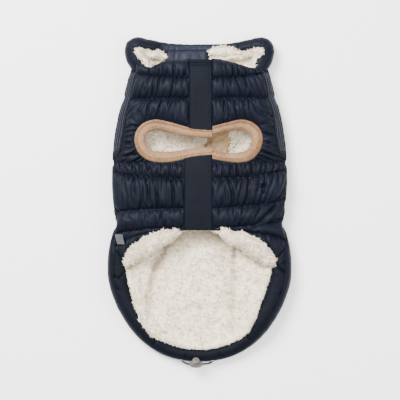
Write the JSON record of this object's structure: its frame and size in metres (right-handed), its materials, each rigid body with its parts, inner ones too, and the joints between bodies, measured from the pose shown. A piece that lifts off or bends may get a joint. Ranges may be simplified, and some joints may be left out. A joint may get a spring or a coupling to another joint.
{
  "type": "dog winter coat",
  "caption": "Padded, fleece-lined dog coat lying on its back: gathered belly panels with a closure strip, rib-edged leg openings, a turned collar and an elastic rear hem with a cord lock.",
  "frame": {"origin": "on the flat underside, on the coat's middle line, 157 mm tailward of the neck seam", "axes": "+Y runs from the tail to the collar, +Z from the surface up through the belly, +X to the right of the belly as seen from above"},
  "size_m": [0.2166, 0.3929, 0.0419],
  "materials": {
    "shell_nylon": "padded navy nylon, fine plain weave with a slight sheen",
    "trim_nylon": "flat navy nylon strips and casings",
    "navy_rib": "navy rib knit",
    "fleece": "curly off-white sherpa fleece",
    "tan_rib": "tan rib knit",
    "woven_label": "plain grey woven label",
    "eyelet_metal": "brushed",
    "lock_plastic": "satin moulded",
    "elastic_cord": "thin round elastic"
  },
  "bodies": {
    "coat": {"back_shell": "shell_nylon", "back_lining": "fleece", "hem_casing": "trim_nylon", "placket_upper": "trim_nylon", "placket_lower": "trim_nylon", "collar_back": "shell_nylon", "collar_band": "trim_nylon", "collar_lining": "fleece", "hip_label": "woven_label", "hem_eyelet_left": "eyelet_metal", "hem_eyelet_right": "eyelet_metal", "hem_cord_left": "elastic_cord", "hem_cord_right": "elastic_cord", "cord_lock_barrel": "lock_plastic", "belly_shell_left": "shell_nylon", "belly_lining_left": "fleece", "collar_front_left": "shell_nylon", "leg_rib_left": "tan_rib", "side_rib_left": "navy_rib", "belly_shell_right": "shell_nylon", "belly_lining_right": "fleece", "collar_front_right": "shell_nylon", "leg_rib_right": "tan_rib", "side_rib_right": "navy_rib"},
    "plunger": {"cord_lock_plunger": "lock_plastic"}
  },
  "joints": [
    {"name": "plunger_press", "type": "slide", "parent": "coat", "child": "plunger", "axis": [0, -0.6947, -0.7193], "range_m": [0, 0.002], "stiffness_N_per_m": 400, "springref_m": -0.002}
  ]
}
